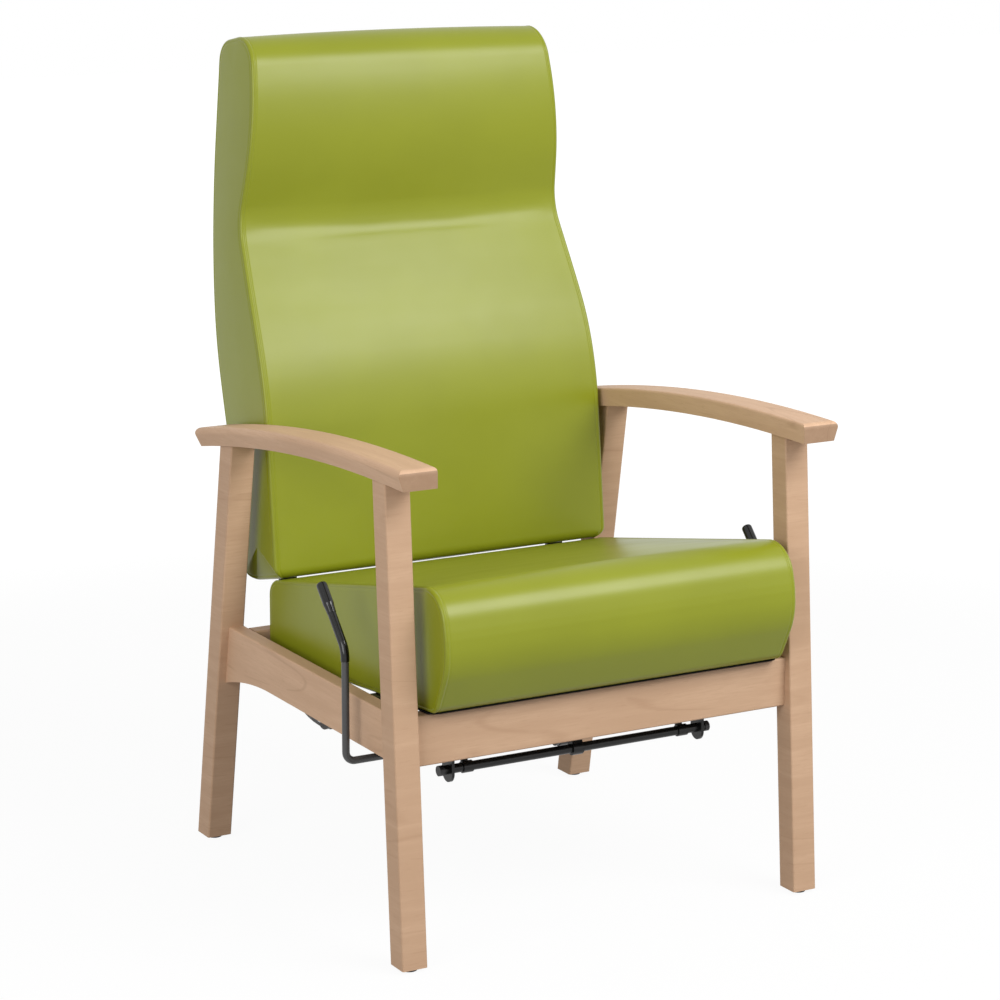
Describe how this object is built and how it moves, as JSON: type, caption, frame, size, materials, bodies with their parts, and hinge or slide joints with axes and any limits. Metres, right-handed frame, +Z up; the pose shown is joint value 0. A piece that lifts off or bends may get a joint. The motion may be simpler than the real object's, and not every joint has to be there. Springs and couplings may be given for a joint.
{
  "type": "reclining armchair",
  "caption": "High-backed reclining armchair with a splayed wooden frame, curved armrests, thick upholstered seat and back, and a lever-released tilting backrest.",
  "frame": {"origin": "on the floor, midway between the foremost and the rearmost point of the upright chair, in its plane of symmetry", "axes": "+Z up, -Y the way the chair faces, +X towards the sitter's left; nodes called right lie at -X"},
  "size_m": [0.6804, 0.7306, 1.153],
  "materials": {
    "beech": "clear satin lacquer",
    "plywood": "raw, sanded",
    "upholstery": "satin green coated upholstery over foam",
    "black_metal": "gloss black powder coat",
    "zinc_steel": "zinc plated",
    "bright_rod": "ground and polished",
    "grip_plastic": "dipped, glossy",
    "black_plastic": "moulded"
  },
  "bodies": {
    "frame": {"front_leg_right": "beech", "front_leg_left": "beech", "rear_leg_right": "beech", "rear_leg_left": "beech", "armrest_right": "beech", "armrest_left": "beech", "side_rail_right": "beech", "side_rail_left": "beech", "front_rail": "beech", "rear_rail": "beech", "corner_blocks": "plywood", "arm_dowels": "plywood", "leg_glides": "black_plastic", "block_screws": "zinc_steel", "front_seat_bar": "black_metal", "rear_seat_bar": "black_metal", "seat_bar_screws": "zinc_steel", "pivot_bracket_right": "black_metal", "pivot_bracket_left": "black_metal", "seat_board": "plywood", "seat_bolts": "zinc_steel", "seat_cushion": "upholstery", "bar_hanger_right": "black_metal", "bar_hanger_left": "black_metal", "hanger_screws": "zinc_steel", "spring_anchor": "black_metal", "anchor_screws": "zinc_steel", "trunnion_screws": "zinc_steel", "pivot_bolts": "zinc_steel"},
    "back": {"torque_tube": "black_metal", "tube_plugs": "zinc_steel", "pivot_washers": "black_plastic", "back_arm_right": "black_metal", "back_arm_left": "black_metal", "crank_ears": "black_metal", "crank_pin": "zinc_steel", "back_board": "plywood", "back_bolts": "zinc_steel", "back_cushion": "upholstery"},
    "release_bail": {"release_bar": "black_metal", "bar_end_caps": "black_plastic", "lever_rod_right": "black_metal", "lever_rod_left": "black_metal", "lever_grip_right": "grip_plastic", "lever_grip_left": "grip_plastic"},
    "spring_rod_part": {"spring_head": "black_metal", "spring_rod": "bright_rod"},
    "spring_cylinder_part": {"spring_cylinder": "black_metal"},
    "valve_pin": {"release_pin": "zinc_steel"}
  },
  "joints": [
    {"name": "back_recline", "type": "hinge", "parent": "frame", "child": "back", "pos_m": [0, 0.04195, 0.235], "axis": [-1, 0, 0], "range_deg": [0, 30]},
    {"name": "release_levers", "type": "hinge", "parent": "frame", "child": "release_bail", "pos_m": [0, -0.23805, 0.2266], "axis": [-1, 0, 0], "range_deg": [0, 12]},
    {"name": "spring_swing", "type": "hinge", "parent": "frame", "child": "spring_rod_part", "pos_m": [0, -0.20805, 0.235], "axis": [1, 0, 0], "range_deg": [-0.5, 0.5]},
    {"name": "spring_stroke", "type": "slide", "parent": "spring_rod_part", "child": "spring_cylinder_part", "axis": [0, -0.9674, 0.2534], "range_m": [0, 0.0345]},
    {"name": "valve_press", "type": "slide", "parent": "spring_rod_part", "child": "valve_pin", "axis": [0, 0.9674, -0.2534], "range_m": [0, 0.0031]}
  ],
  "couplings": [
    {"joint": "spring_swing", "follows": "back_recline", "ratio": -0.002},
    {"joint": "spring_stroke", "follows": "back_recline", "m_per_rad": 0.06422},
    {"joint": "valve_press", "follows": "release_levers", "m_per_rad": 0.01432}
  ]
}
